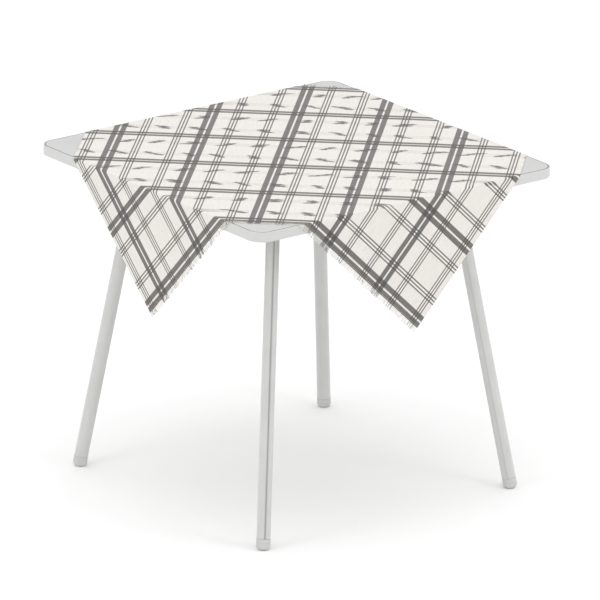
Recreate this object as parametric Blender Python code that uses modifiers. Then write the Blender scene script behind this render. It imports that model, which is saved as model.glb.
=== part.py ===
"""Square table on four splayed tube legs, with a fringed check cloth laid corner-wise over it.

Metres, +Z up. The origin is on the floor under the middle of the top. The cloth is turned about
45 degrees, so the table's corners show past its edges and its own corners hang over the sides.
"""
import math

import bmesh
import bpy
from mathutils import Matrix, Vector

MM = 0.001

# Table top
TOP_SIDE = 800 * MM
TOP_HEIGHT = 735 * MM
TOP_THICKNESS = 22 * MM
CORNER_RADIUS = 35 * MM
SKIN_THICKNESS = 0.9 * MM
BAND_THICKNESS = 2.4 * MM
BAND_ROUND = 1.2 * MM

# Legs: where each axis meets the underside and the floor, along X and along Y
LEG_TOP_OFFSET = 239 * MM
LEG_FOOT_OFFSET = 336 * MM
TUBE_DIAMETER = 30 * MM
TUBE_WALL = 1.5 * MM
TUBE_TOP_SETBACK = 9 * MM

# Leg bracket: a screwed plate and the sleeve welded to it
PLATE_SIDE = 116 * MM
PLATE_THICKNESS = 3 * MM
PLATE_CORNER_RADIUS = 12 * MM
PLATE_SCREW_OFFSET = 44 * MM
SLEEVE_LENGTH = 46 * MM
SLEEVE_WALL = 2 * MM

# Screws: head and shank sizes
PLATE_SCREW_LENGTH = 15 * MM
PLATE_SCREW_SHANK = 4 * MM
PLATE_SCREW_HEAD = 8.4 * MM
PLATE_SCREW_HEAD_HEIGHT = 2.6 * MM
LOCK_SCREW_LENGTH = 9 * MM
LOCK_SCREW_SHANK = 4.2 * MM
LOCK_SCREW_HEAD = 8.8 * MM
LOCK_SCREW_HEAD_HEIGHT = 2.8 * MM
LOCK_SCREW_HEIGHT = 16 * MM
HEAD_FLAT_SHARE = 0.62
HEAD_SHOULDER_SHARE = 0.92
HOLE_EXTRA_DEPTH = 2 * MM

# Foot cap
CAP_HEIGHT = 24 * MM
CAP_STANDOUT = 0.5 * MM
CAP_ROUND = 9 * MM
CAP_SINK = 1.5 * MM
CAP_PLUG_LENGTH = 20 * MM
CAP_PLUG_LEAD_IN = 1 * MM
CAP_GROOVE_HEIGHT = 15 * MM
CAP_GROOVE_DEPTH = 0.6 * MM
CAP_GROOVE_HALF_WIDTH = 1 * MM
CAP_GROOVE_FLOOR_HALF = 0.6 * MM

# Cloth: flat sizes before it is laid
CLOTH_WIDTH = 966 * MM
CLOTH_WOVEN_LENGTH = 980 * MM
FRINGE_LENGTH = 10 * MM
CLOTH_THICKNESS = 0.9 * MM
CLOTH_FOLD_RADIUS = 3 * MM
CLOTH_TURN = math.radians(46.2)
CLOTH_SHIFT = (2 * MM, 13 * MM)

# Fits
GAP = 0.3 * MM
HOLE_CLEARANCE = 0.5 * MM

# Smoothness
ROUND_STEPS = 24
SCREW_STEPS = 8
HOLE_SEGMENTS = 8
CORNER_SEGMENTS = 6
CAP_ARC_STEPS = 4
FOLD_STEPS = 4

CORNERS = {"front": (1, -1), "left": (-1, -1), "right": (1, 1), "back": (-1, 1)}

# Sizes that follow from the ones above
UNDERSIDE = TOP_HEIGHT - TOP_THICKNESS
BOARD_SIDE = TOP_SIDE - 2 * (BAND_THICKNESS + GAP)
BOARD_CORNER_RADIUS = CORNER_RADIUS - BAND_THICKNESS - GAP
PLATE_TOP = UNDERSIDE - GAP
PLATE_BOTTOM = PLATE_TOP - PLATE_THICKNESS
LEG_SPLAY = math.atan2((LEG_FOOT_OFFSET - LEG_TOP_OFFSET) * math.sqrt(2), UNDERSIDE)
PLATE_ALONG_LEG = PLATE_BOTTOM / math.cos(LEG_SPLAY)
TUBE_RADIUS = TUBE_DIAMETER / 2
SLEEVE_BORE_RADIUS = TUBE_RADIUS + GAP
SLEEVE_RADIUS = SLEEVE_BORE_RADIUS + SLEEVE_WALL
SLEEVE_LOW = PLATE_ALONG_LEG - SLEEVE_LENGTH
LOCK_SCREW_ALONG_LEG = SLEEVE_LOW + LOCK_SCREW_HEIGHT
FOLD_START = TOP_SIDE / 2 - BAND_ROUND
FOLD_ARC = CLOTH_FOLD_RADIUS * math.pi / 2


def clear_scene():
    for item in list(bpy.data.objects):
        bpy.data.objects.remove(item, do_unlink=True)


def new_collection(name):
    collection = bpy.data.collections.new(name)
    bpy.context.scene.collection.children.link(collection)
    return collection


def finish(name, colour, roughness, metallic=0.0):
    material = bpy.data.materials.new(name)
    material.use_nodes = True
    shader = material.node_tree.nodes["Principled BSDF"]
    shader.inputs["Base Color"].default_value = (*colour, 1.0)
    shader.inputs["Roughness"].default_value = roughness
    shader.inputs["Metallic"].default_value = metallic
    return material


def add_object(name, data, collection, material=None, parent=None):
    item = bpy.data.objects.new(name, data)
    collection.objects.link(item)
    if material:
        data.materials.append(material)
    item.parent = parent
    return item


def mesh_from(bm, name):
    bmesh.ops.recalc_face_normals(bm, faces=bm.faces)
    mesh = bpy.data.meshes.new(name)
    bm.to_mesh(mesh)
    bm.free()
    return mesh


def rounded_block(name, side, radius, low, high, edge_round=0.0):
    """A square slab with round corners and, if asked, a softened upper and lower rim."""
    bm = bmesh.new()
    bmesh.ops.create_cube(bm, size=1.0)
    bmesh.ops.scale(bm, vec=(side, side, high - low), verts=bm.verts)
    bmesh.ops.translate(bm, vec=(0, 0, (low + high) / 2), verts=bm.verts)
    upright = [e for e in bm.edges if abs(e.verts[0].co.z - e.verts[1].co.z) > (high - low) / 2]
    bmesh.ops.bevel(bm, geom=upright, offset=radius, offset_type='OFFSET',
                    segments=CORNER_SEGMENTS, profile=0.5, affect='EDGES')
    if edge_round:
        level = [e for e in bm.edges if abs(e.verts[0].co.z - e.verts[1].co.z) < MM / 100]
        bmesh.ops.bevel(bm, geom=level, offset=edge_round, offset_type='OFFSET',
                        segments=2, profile=0.5, affect='EDGES')
    return mesh_from(bm, name)


def turned(name, profile, collection, material, closed=False, steps=ROUND_STEPS, parent=None):
    """A turned piece about its own Z; the profile is (radius, height) down its outer side."""
    bm = bmesh.new()
    points = [bm.verts.new((radius, 0, height)) for radius, height in profile]
    pairs = list(zip(points, points[1:]))
    if closed:
        pairs.append((points[-1], points[0]))
    for pair in pairs:
        bm.edges.new(pair)
    mesh = bpy.data.meshes.new(name)
    bm.to_mesh(mesh)
    bm.free()
    piece = add_object(name, mesh, collection, material, parent)
    spin = piece.modifiers.new("Turn", 'SCREW')
    spin.axis = 'Z'
    spin.steps = steps
    spin.render_steps = steps
    spin.use_merge_vertices = True
    spin.merge_threshold = MM / 50
    return piece


def drill(name, radius, depth, collection, parent=None):
    """A cylinder cutter about its own Z, centred on its origin."""
    bm = bmesh.new()
    bmesh.ops.create_cone(bm, cap_ends=True, segments=HOLE_SEGMENTS, radius1=radius,
                          radius2=radius, depth=depth)
    return cutter(name, mesh_from(bm, name), collection, parent)


def cutter(name, mesh, collection, parent=None):
    item = add_object(name, mesh, collection, parent=parent)
    item.hide_render = True
    item.display_type = 'WIRE'
    return item


def cut(target, tool):
    step = target.modifiers.new("Cut " + tool.name, 'BOOLEAN')
    step.operation = 'DIFFERENCE'
    step.solver = 'EXACT'
    step.object = tool


def smooth(piece, angle=35):
    piece.data.shade_smooth()
    piece.data.set_sharp_from_angle(angle=math.radians(angle))


# ---- Table top ---------------------------------------------------------------------------------

def build_top(parts, tools, finishes):
    core_low = UNDERSIDE + SKIN_THICKNESS + GAP
    core_high = TOP_HEIGHT - SKIN_THICKNESS - GAP
    core = add_object("core_board", rounded_block("core_board", BOARD_SIDE, BOARD_CORNER_RADIUS,
                                                  core_low, core_high), parts, finishes["board"])
    face = rounded_block("top_laminate", BOARD_SIDE, BOARD_CORNER_RADIUS,
                         core_high + GAP, TOP_HEIGHT)
    add_object("top_laminate", face, parts, finishes["laminate"])
    backing = rounded_block("backing_laminate", BOARD_SIDE, BOARD_CORNER_RADIUS,
                            UNDERSIDE, core_low - GAP)
    backing = add_object("backing_laminate", backing, parts, finishes["backing"])
    band = rounded_block("edge_band", TOP_SIDE, CORNER_RADIUS, UNDERSIDE, TOP_HEIGHT, BAND_ROUND)
    band = add_object("edge_band", band, parts, finishes["band"])
    inside = rounded_block("band_inside", TOP_SIDE - 2 * BAND_THICKNESS,
                           CORNER_RADIUS - BAND_THICKNESS, UNDERSIDE - TOP_THICKNESS,
                           TOP_HEIGHT + TOP_THICKNESS)
    cut(band, cutter("band_inside", inside, tools))
    smooth(band)
    return core, backing


# ---- Legs --------------------------------------------------------------------------------------

def leg_axis(name, corner, parts):
    """An empty where the leg's axis meets the floor: its Z runs up the leg, its X outwards."""
    sx, sy = corner
    foot = Vector((sx * LEG_FOOT_OFFSET, sy * LEG_FOOT_OFFSET, 0))
    top = Vector((sx * LEG_TOP_OFFSET, sy * LEG_TOP_OFFSET, UNDERSIDE))
    along = (top - foot).normalized()
    outward = Vector((sx, sy, 0)).normalized()
    outward = (outward - along * outward.dot(along)).normalized()
    across = along.cross(outward)
    turn = Matrix((outward, across, along)).transposed().to_4x4()
    empty = add_object("axis_" + name, None, parts)
    empty.matrix_world = Matrix.Translation(foot) @ turn
    return empty


def arc_points(centre_radius, centre_height, radius, start, end, count):
    """Points on a profile's arc, angles in degrees from the radius direction."""
    angles = [math.radians(start + (end - start) * step / count) for step in range(count + 1)]
    return [(centre_radius + radius * math.cos(a), centre_height + radius * math.sin(a))
            for a in angles]


def build_tube(corner, parts, finishes, axis):
    low = CAP_HEIGHT + GAP
    high = PLATE_ALONG_LEG - TUBE_TOP_SETBACK
    bore = TUBE_RADIUS - TUBE_WALL
    profile = [(TUBE_RADIUS, high), (TUBE_RADIUS, low), (bore, low), (bore, high)]
    tube = turned("leg_tube_" + corner, profile, parts, finishes["steel"], closed=True, parent=axis)
    smooth(tube)
    return tube


def build_cap(corner, parts, tools, finishes, axis):
    """A push-in foot: a plug up the tube, a grooved skirt and a round end cut level at the floor."""
    plug = TUBE_RADIUS - TUBE_WALL - GAP
    skirt = TUBE_RADIUS + CAP_STANDOUT
    ball_radius = skirt - CAP_ROUND
    ball_height = (CAP_ROUND - CAP_SINK + ball_radius * math.sin(LEG_SPLAY)) / math.cos(LEG_SPLAY)
    plug_end = CAP_HEIGHT + CAP_PLUG_LENGTH
    groove_floor = skirt - CAP_GROOVE_DEPTH
    profile = [(0, plug_end), (plug - CAP_PLUG_LEAD_IN, plug_end),
               (plug, plug_end - 2 * CAP_PLUG_LEAD_IN), (plug, CAP_HEIGHT),
               (groove_floor, CAP_HEIGHT), (skirt, CAP_HEIGHT - CAP_GROOVE_DEPTH),
               (skirt, CAP_GROOVE_HEIGHT + CAP_GROOVE_HALF_WIDTH),
               (groove_floor, CAP_GROOVE_HEIGHT + CAP_GROOVE_FLOOR_HALF),
               (groove_floor, CAP_GROOVE_HEIGHT - CAP_GROOVE_FLOOR_HALF),
               (skirt, CAP_GROOVE_HEIGHT - CAP_GROOVE_HALF_WIDTH)]
    profile += arc_points(ball_radius, ball_height, CAP_ROUND, 0, -90, CAP_ARC_STEPS)
    profile += [(0, ball_height - CAP_ROUND)]
    cap = turned("foot_cap_" + corner, profile, parts, finishes["plastic"], parent=axis)
    smooth(cap)
    cut(cap, tools.objects["floor_cut"])
    return cap


def build_sleeve(corner, parts, tools, finishes, axis):
    high = PLATE_ALONG_LEG + SLEEVE_RADIUS
    profile = [(SLEEVE_RADIUS, high), (SLEEVE_RADIUS, SLEEVE_LOW),
               (SLEEVE_BORE_RADIUS, SLEEVE_LOW), (SLEEVE_BORE_RADIUS, high)]
    sleeve = turned("leg_sleeve_" + corner, profile, parts, finishes["steel"], closed=True,
                    parent=axis)
    smooth(sleeve)
    cut(sleeve, tools.objects["plate_cut"])
    return sleeve


def screw_profile(head, head_height, shank, length):
    """A pan-head screw pointing down its own Z, its head seated at height zero."""
    head_radius = head / 2
    shank_radius = shank / 2
    tip = length - shank_radius
    return [(0, head_height), (head_radius * HEAD_FLAT_SHARE, head_height),
            (head_radius * HEAD_SHOULDER_SHARE, head_height * HEAD_FLAT_SHARE),
            (head_radius, 0), (shank_radius, 0),
            (shank_radius, -tip), (0, -length)]


def build_lock_screw(corner, parts, tools, finishes, axis, sleeve, tube):
    """The screw that holds the tube in its sleeve, driven from the table's inner side."""
    seat = SLEEVE_RADIUS + GAP
    profile = screw_profile(LOCK_SCREW_HEAD, LOCK_SCREW_HEAD_HEIGHT, LOCK_SCREW_SHANK,
                            LOCK_SCREW_LENGTH)
    screw = turned("lock_screw_" + corner, profile, parts, finishes["zinc"], steps=SCREW_STEPS,
                   parent=axis)
    screw.location = (-seat, 0, LOCK_SCREW_ALONG_LEG)
    screw.rotation_euler = (0, -math.pi / 2, 0)
    smooth(screw)
    hole = drill("lock_hole_" + corner, LOCK_SCREW_SHANK / 2 + HOLE_CLEARANCE,
                 2 * LOCK_SCREW_LENGTH, tools, axis)
    hole.location = (-seat, 0, LOCK_SCREW_ALONG_LEG)
    hole.rotation_euler = (0, math.pi / 2, 0)
    cut(sleeve, hole)
    cut(tube, hole)


def build_plate(corner, place, parts, tools, finishes, board_layers):
    """A bracket plate with its four wood screws, and their holes in the plate and the board."""
    sx, sy = place
    plate = add_object("leg_plate_" + corner, rounded_block(
        "leg_plate_" + corner, PLATE_SIDE, PLATE_CORNER_RADIUS, -PLATE_THICKNESS, 0),
        parts, finishes["steel"])
    plate.location = (sx * LEG_TOP_OFFSET, sy * LEG_TOP_OFFSET, PLATE_TOP)
    hole_radius = PLATE_SCREW_SHANK / 2 + HOLE_CLEARANCE
    hole_depth = PLATE_SCREW_LENGTH + HOLE_EXTRA_DEPTH
    profile = screw_profile(PLATE_SCREW_HEAD, PLATE_SCREW_HEAD_HEIGHT, PLATE_SCREW_SHANK,
                            PLATE_SCREW_LENGTH)
    for number, (dx, dy) in enumerate(((1, 1), (-1, 1), (-1, -1), (1, -1)), start=1):
        x = sx * LEG_TOP_OFFSET + dx * PLATE_SCREW_OFFSET
        y = sy * LEG_TOP_OFFSET + dy * PLATE_SCREW_OFFSET
        seat = PLATE_BOTTOM - GAP
        screw = turned(f"plate_screw_{corner}_{number}", profile, parts, finishes["zinc"],
                       steps=SCREW_STEPS)
        screw.location = (x, y, seat)
        screw.rotation_euler = (math.pi, 0, 0)
        smooth(screw)
        hole = drill(f"screw_hole_{corner}_{number}", hole_radius, 2 * hole_depth, tools)
        hole.location = (x, y, seat)
        for layer in (plate, *board_layers):
            cut(layer, hole)


def big_box(name, low, high, tools):
    bm = bmesh.new()
    bmesh.ops.create_cube(bm, size=1.0)
    bmesh.ops.scale(bm, vec=(2 * TOP_SIDE, 2 * TOP_SIDE, high - low), verts=bm.verts)
    bmesh.ops.translate(bm, vec=(0, 0, (low + high) / 2), verts=bm.verts)
    return cutter(name, mesh_from(bm, name), tools)


def build_legs(parts, tools, finishes, board_layers):
    big_box("floor_cut", -CAP_HEIGHT, 0, tools)
    big_box("plate_cut", PLATE_BOTTOM - GAP, TOP_HEIGHT + TOP_THICKNESS, tools)
    for corner, place in CORNERS.items():
        axis = leg_axis(corner, place, parts)
        tube = build_tube(corner, parts, finishes, axis)
        build_cap(corner, parts, tools, finishes, axis)
        sleeve = build_sleeve(corner, parts, tools, finishes, axis)
        build_lock_screw(corner, parts, tools, finishes, axis, sleeve, tube)
        build_plate(corner, place, parts, tools, finishes, board_layers)


# ---- Cloth -------------------------------------------------------------------------------------

def over_edge(distance):
    """How far out and how far down a point lies, given its flat distance from the middle."""
    past = distance - FOLD_START
    if past <= 0:
        return distance, 0.0
    if past < FOLD_ARC:
        angle = past / CLOTH_FOLD_RADIUS
        return (FOLD_START + CLOTH_FOLD_RADIUS * math.sin(angle),
                CLOTH_FOLD_RADIUS * (1 - math.cos(angle)))
    return FOLD_START + CLOTH_FOLD_RADIUS, CLOTH_FOLD_RADIUS + past - FOLD_ARC


def draped(point):
    """Where a point of the flat cloth comes to lie: on the top, round the edge or hanging."""
    x, drop_x = over_edge(abs(point.x))
    y, drop_y = over_edge(abs(point.y))
    height = TOP_HEIGHT + GAP - drop_x - drop_y
    return Vector((math.copysign(x, point.x), math.copysign(y, point.y), height))


def draped_sheet(name, length_low, length_high, parts, material):
    """A strip of the cloth, from one distance along its length to another, laid on the table.

    Its length runs from the front corner of the table to the back one, its width across.
    """
    bm = bmesh.new()
    bmesh.ops.create_grid(bm, x_segments=1, y_segments=1, size=0.5)
    bmesh.ops.scale(bm, vec=(CLOTH_WIDTH, length_high - length_low, 1), verts=bm.verts)
    bmesh.ops.translate(bm, vec=(0, (length_low + length_high) / 2, 0), verts=bm.verts)
    turn = Matrix.Rotation(CLOTH_TURN, 3, 'Z')
    bmesh.ops.rotate(bm, matrix=turn, verts=bm.verts)
    bmesh.ops.translate(bm, vec=(*CLOTH_SHIFT, 0), verts=bm.verts)
    for side in (Vector((1, 0, 0)), Vector((-1, 0, 0)), Vector((0, 1, 0)), Vector((0, -1, 0))):
        for step in range(FOLD_STEPS + 1):
            line = side * (FOLD_START + FOLD_ARC * step / FOLD_STEPS)
            everything = list(bm.verts) + list(bm.edges) + list(bm.faces)
            bmesh.ops.bisect_plane(bm, geom=everything, plane_co=line, plane_no=side, dist=MM / 1000)
    for vert in bm.verts:
        vert.co = draped(vert.co)
    mesh = bpy.data.meshes.new(name)
    bm.to_mesh(mesh)
    bm.free()
    sheet = add_object(name, mesh, parts, material)
    wall = sheet.modifiers.new("Thickness", 'SOLIDIFY')
    wall.thickness = CLOTH_THICKNESS
    wall.offset = 1
    smooth(sheet, 60)
    return sheet


def build_cloth(parts, finishes):
    half = CLOTH_WOVEN_LENGTH / 2
    draped_sheet("tablecloth", -half, half, parts, finishes["cloth"])
    draped_sheet("fringe_front", -half - FRINGE_LENGTH, -half - GAP, parts, finishes["fringe"])
    draped_sheet("fringe_back", half + GAP, half + FRINGE_LENGTH, parts, finishes["fringe"])


def main():
    clear_scene()
    parts = new_collection("tablecloth_on_table")
    tools = new_collection("cutters")
    finishes = {
        "board": finish("board", (0.55, 0.42, 0.28), 0.8),
        "laminate": finish("laminate", (0.66, 0.66, 0.67), 0.45),
        "backing": finish("backing", (0.70, 0.70, 0.70), 0.6),
        "band": finish("band", (0.70, 0.70, 0.71), 0.4),
        "steel": finish("steel", (0.74, 0.74, 0.75), 0.35),
        "plastic": finish("plastic", (0.72, 0.72, 0.73), 0.5),
        "zinc": finish("zinc", (0.62, 0.62, 0.60), 0.35, 1.0),
        "cloth": finish("cloth", (0.82, 0.80, 0.74), 0.9),
        "fringe": finish("fringe", (0.84, 0.82, 0.77), 0.9),
    }
    board_layers = build_top(parts, tools, finishes)
    build_legs(parts, tools, finishes, board_layers)
    build_cloth(parts, finishes)
    bpy.context.view_layer.update()


main()
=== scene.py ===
"""A square table with a checked, fringed cloth laid across its corners.

Run as a script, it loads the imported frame, makes the finished pieces over it and sets the stage.
"""
import math

import bmesh
import bpy
from mathutils import Matrix, Vector, noise


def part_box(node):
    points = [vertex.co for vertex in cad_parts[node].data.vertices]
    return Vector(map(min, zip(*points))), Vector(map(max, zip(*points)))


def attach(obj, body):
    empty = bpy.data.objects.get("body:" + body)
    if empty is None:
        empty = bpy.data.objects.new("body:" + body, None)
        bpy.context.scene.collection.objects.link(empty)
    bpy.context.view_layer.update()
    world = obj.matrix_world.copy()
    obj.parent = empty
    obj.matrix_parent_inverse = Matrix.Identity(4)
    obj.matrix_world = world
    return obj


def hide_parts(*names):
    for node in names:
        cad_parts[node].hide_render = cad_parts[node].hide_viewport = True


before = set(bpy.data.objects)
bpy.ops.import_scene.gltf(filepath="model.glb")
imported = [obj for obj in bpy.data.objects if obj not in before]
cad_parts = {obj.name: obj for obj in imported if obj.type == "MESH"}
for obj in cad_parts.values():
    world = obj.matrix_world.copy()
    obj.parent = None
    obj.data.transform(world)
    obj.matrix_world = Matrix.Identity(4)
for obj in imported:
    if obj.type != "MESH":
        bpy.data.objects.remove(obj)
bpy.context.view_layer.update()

bl_info = {
    "name": "Fringed Table Cloth",
    "version": (1, 0, 0),
    "blender": (4, 5, 0),
    "location": "View3D > Sidebar > Table Linen",
    "description": "Makes a splay-legged square table and the checked, fringed cloth on it",
    "category": "Object",
}

MM = 0.001
CORNERS = {"front": (1, -1), "left": (-1, -1), "right": (1, 1), "back": (-1, 1)}
RIM_LOW, RIM_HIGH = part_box("edge_band")
UNDERSIDE = RIM_LOW.z
TOP_HEIGHT = RIM_HIGH.z
TOP_HALF = RIM_HIGH.x
FIT_GAP = 0.3 * MM
SLEEVE_LENGTH = 46 * MM
SLEEVE_WALL = 2 * MM
TUBE_TOP_SETBACK = 9 * MM
LOCK_SCREW_HEIGHT = 16 * MM
CAP_PLUG_LENGTH = 20 * MM
CAP_STANDOUT = 0.5 * MM

# Under this two places count as one, and past it a piece has strayed from its CAD nodes.
SAME_PLACE = 0.001 * MM
STRAYED = 3 * MM

# Head diameter, head height, shank diameter and length.
PLATE_SCREW = (8.4 * MM, 2.6 * MM, 4 * MM, 15 * MM)
LOCK_SCREW = (8.8 * MM, 2.8 * MM, 4.2 * MM, 9 * MM)
THREAD_PITCH = 1.4 * MM

# Name, distance towards the camera, to its right and up, size, and power in watts.
SOFTBOXES = (("overhead_softbox", 0.6, 0.0, 4.2, (3.2, 3.2), 12),
             ("left_softbox", 2.6, -3.4, 2.0, (1.6, 2.6), 27),
             ("right_softbox", 2.2, 3.6, 1.8, (1.2, 2.4), 27))
LIT_POINT = Vector((0, 0, 0.4))

# How far a corner hangs, and the ripples of the cloth where it lies flat.
HANG_LENGTH = 0.3
RIPPLE_HEIGHT = 0.45 * MM
RIPPLE_MARGIN = 50 * MM

# How much the fine stripes swell at a thick place of their yarn, and thin elsewhere.
SLUB_SWELL = 3.41
SLUB_THIN = 0.79

# How far inside the cloth's end the threads start and the stitches run, and their pitch.
FRINGE_ROOT = 1.2 * MM
STITCH_INSET = 2.6 * MM
STITCH_PITCH = 4.1 * MM

FLAT_MAP = "flat"
# Name of the weight along each tube's seam, which sets the groove's depth and its painted shade.
SEAM_AND_SHADE = "seam"

# Each tube's seam: degrees turned from facing outwards, and how much of it shows, both as the depth
# of its groove and as the painted shade darkening it.
SEAMS = {"front": (20, 1.0), "left": (-85, 0.5), "right": (-93, 0.3), "back": (0, 0.5)}


def shade(red, green, blue):
    """A colour given on a 0 to 255 scale, as the linear values that a shader takes."""
    parts = (red / 255, green / 255, blue / 255)
    return tuple(c / 12.92 if c <= 0.04045 else ((c + 0.055) / 1.055) ** 2.4 for c in parts)


def opaque(colour):
    return (*colour, 1.0)


# ---- Sizes and colours that a user would change ------------------------------------------------

def length(name, default, description):
    return bpy.props.FloatProperty(name=name, description=description, default=default, min=0.0,
                                   precision=4, unit='LENGTH')


def colour(name, default, description):
    return bpy.props.FloatVectorProperty(name=name, description=description, default=default,
                                         size=3, min=0.0, max=1.0, subtype='COLOR')


def angle(name, degrees, description):
    return bpy.props.FloatProperty(name=name, description=description,
                                   default=math.radians(degrees), subtype='ANGLE')


def strength(name, default, description):
    return bpy.props.FloatProperty(name=name, description=description, default=default, min=0.0)


def share(name, default, description):
    return bpy.props.FloatProperty(name=name, description=description, default=default, min=0.0,
                                   max=1.0, subtype='FACTOR')


class LINEN_PG_cloth(bpy.types.PropertyGroup):
    width: length("Width", 0.966, "Flat width, from selvedge to selvedge")
    woven_length: length("Woven Length", 0.98, "Flat length without its fringes")
    thickness: length("Thickness", 0.8 * MM, "Thickness of the woven cloth")
    fold_radius: length("Fold Radius", 3 * MM, "Radius that the cloth bends to over the edge")
    turn: angle("Turn", 46.2, "How far the cloth is turned on the table")
    shift: bpy.props.FloatVectorProperty(
        name="Shift", description="How far off the table's middle the cloth lies", size=2,
        default=(2 * MM, 13 * MM), subtype='TRANSLATION')
    swing: length("Swing", 0.6 * MM, "How far a hanging corner stands out")
    wave: length("Wave", 2.2 * MM, "Height of the soft waves in the hanging corners")
    ground: colour("Ground", shade(242, 240, 234), "Undyed yarn")
    dark_yarn: colour("Dark Yarn", shade(76, 75, 73), "Yarn of the checks")


class LINEN_PG_checks(bpy.types.PropertyGroup):
    across: length("Repeat Across", 185.4 * MM, "Repeat of the lengthwise stripes")
    along: length("Repeat Along", 190.5 * MM, "Repeat of the crosswise stripes")
    across_start: bpy.props.FloatProperty(
        name="Start Across", description="Middle of one wide pair, from the middle of the width",
        default=-41.4 * MM, unit='LENGTH')
    wide_stripe: length("Wide Stripe", 11.8 * MM, "Width of each of the two wide stripes")
    wide_gap: length("Wide Gap", 4.2 * MM, "Ground between the two wide stripes")
    fine_stripe: length("Fine Stripe", 3.0 * MM, "Width of each of the three fine stripes")
    fine_pitch: length("Fine Pitch", 6.9 * MM, "From one fine stripe to the next")
    fine_offset: length("Fine Offset", 53.6 * MM, "From a wide pair to the fine stripes beside it")
    slub: share("Slub", 1.0, "How much the fine crosswise stripes swell and thin in the middle")
    slub_length: length("Slub Length", 75 * MM, "From one thick place in the yarn to the next")
    yarn_pitch: length("Yarn Pitch", 1.0 * MM, "From one yarn of the weave to the next")
    cover: share("Cover", 0.88, "How much of the ground a single stripe hides")


class LINEN_PG_fringe(bpy.types.PropertyGroup):
    thread_length: length("Thread Length", 13.5 * MM, "Loose length of each thread")
    thread_thickness: length("Thread Thickness", 0.75 * MM, "Thickness of each thread")
    thread_pitch: length("Thread Pitch", 1.15 * MM, "From one thread to the next")
    looseness: share("Looseness", 0.16, "How far threads lean from straight")
    curl: length("Curl", 2.2 * MM, "How far thread ends wander")
    seed: bpy.props.IntProperty(name="Seed", description="Changes how the threads lie",
                                default=7, min=0)


class LINEN_PG_table(bpy.types.PropertyGroup):
    corner_radius: length("Corner Radius", 35 * MM, "Radius of the table top's corners")
    band_thickness: length("Band Thickness", 2.4 * MM, "Thickness of the edge band")
    band_round: length("Band Rounding", 1.2 * MM, "Rounding along the edge band")
    skin: length("Skin", 0.9 * MM, "Thickness of the table face")
    leg_top: length("Leg Top", 239 * MM, "From the middle to a leg's axis, at the underside")
    leg_foot: length("Leg Foot", 336 * MM, "From the middle to a leg's axis, at the floor")
    tube_diameter: length("Tube Diameter", 30 * MM, "Diameter of the leg tubes")
    tube_wall: length("Tube Wall", 1.5 * MM, "Wall of the leg tubes")
    seam_depth: length("Seam Depth", 0.5 * MM, "Depth of the welded seam along each tube")
    seam_half_width: length("Seam Half Width", 3.2 * MM, "Half the width of the welded seam")
    cap_height: length("Cap Height", 24 * MM, "Visible height of the foot caps")
    paint: colour("Paint", shade(201, 201, 200), "Powder coat on the legs and brackets")
    face: colour("Face", shade(201, 201, 200), "Laminate on the table's face")
    band: colour("Band", shade(205, 205, 204), "Edge band")
    cap: colour("Cap", shade(199, 199, 198), "Moulded foot caps")


class LINEN_PG_stage(bpy.types.PropertyGroup):
    azimuth: angle("Azimuth", 52.9, "Camera direction round the table")
    elevation: angle("Elevation", 18.4, "Camera height as an angle above the floor")
    roll: angle("Roll", 0.3, "Tilt of the camera")
    distance: length("Distance", 20.0, "From the camera to the middle of the table")
    lens: bpy.props.FloatProperty(name="Lens", description="Focal length in millimetres",
                                  default=553.5, min=1.0)
    aim_height: length("Aim Height", 0.405, "Height that the camera looks at")
    aim_side: length("Aim Sideways", 0.0105, "How far right of the middle the camera looks")
    horizon: strength("Horizon", 0.6, "Strength of the even light from the sides")
    zenith: strength("Zenith", 1.5, "Strength of the even light from overhead")
    floor: colour("Floor", shade(244, 244, 244), "Pale studio floor")
    floor_glow: share("Floor Glow", 0.06, "Light of the floor's own, as from a lit sweep")


# ---- Sums on sockets ---------------------------------------------------------------------------

class Value:
    """A node's output that ordinary sums can be written on."""

    def __init__(self, graph, socket):
        self.graph = graph
        self.socket = socket

    def __add__(self, other):
        return self.graph.maths('ADD', self, other)

    def __sub__(self, other):
        return self.graph.maths('SUBTRACT', self, other)

    def __rsub__(self, other):
        return self.graph.maths('SUBTRACT', other, self)

    def __mul__(self, other):
        return self.graph.maths('MULTIPLY', self, other)

    def __truediv__(self, other):
        return self.graph.maths('DIVIDE', self, other)

    def __pow__(self, other):
        return self.graph.maths('POWER', self, other)

    def __abs__(self):
        return self.graph.maths('ABSOLUTE', self)

    __radd__ = __add__
    __rmul__ = __mul__


class Graph:
    """A node tree and the few ways in which nodes are added to it."""

    def __init__(self, tree):
        self.tree = tree

    def feed(self, socket, value):
        if isinstance(value, Value):
            self.tree.links.new(value.socket, socket)
        else:
            socket.default_value = value

    def node(self, kind, settings=None, inputs=None, output=0):
        """Adds a node: its settings first, then what its sockets hold or are linked to."""
        made = self.tree.nodes.new(kind)
        for name, value in (settings or {}).items():
            if name == "stops":
                self.set_stops(made.color_ramp, value)
            else:
                setattr(made, name, value)
        for name, value in (inputs or {}).items():
            self.feed(made.inputs[name], value)
        return Value(self, made.outputs[output])

    @staticmethod
    def set_stops(ramp, stops):
        while len(ramp.elements) < len(stops):
            ramp.elements.new(1.0)
        for element, (position, grey) in zip(ramp.elements, stops):
            element.position = position
            element.color = (grey, grey, grey, 1.0)

    def maths(self, operation, *values):
        return self.node('ShaderNodeMath', {"operation": operation}, dict(enumerate(values)))

    def split(self, vector):
        made = self.tree.nodes.new('ShaderNodeSeparateXYZ')
        self.feed(made.inputs[0], vector)
        return [Value(self, socket) for socket in made.outputs]

    def join(self, x, y, z=0.0):
        return self.node('ShaderNodeCombineXYZ', inputs={0: x, 1: y, 2: z})

    def noise(self, vector, scale, detail=2.0, roughness=0.5):
        return self.node('ShaderNodeTexNoise', {"noise_dimensions": '3D'}, {
            "Vector": vector, "Scale": scale, "Detail": detail, "Roughness": roughness})


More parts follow.
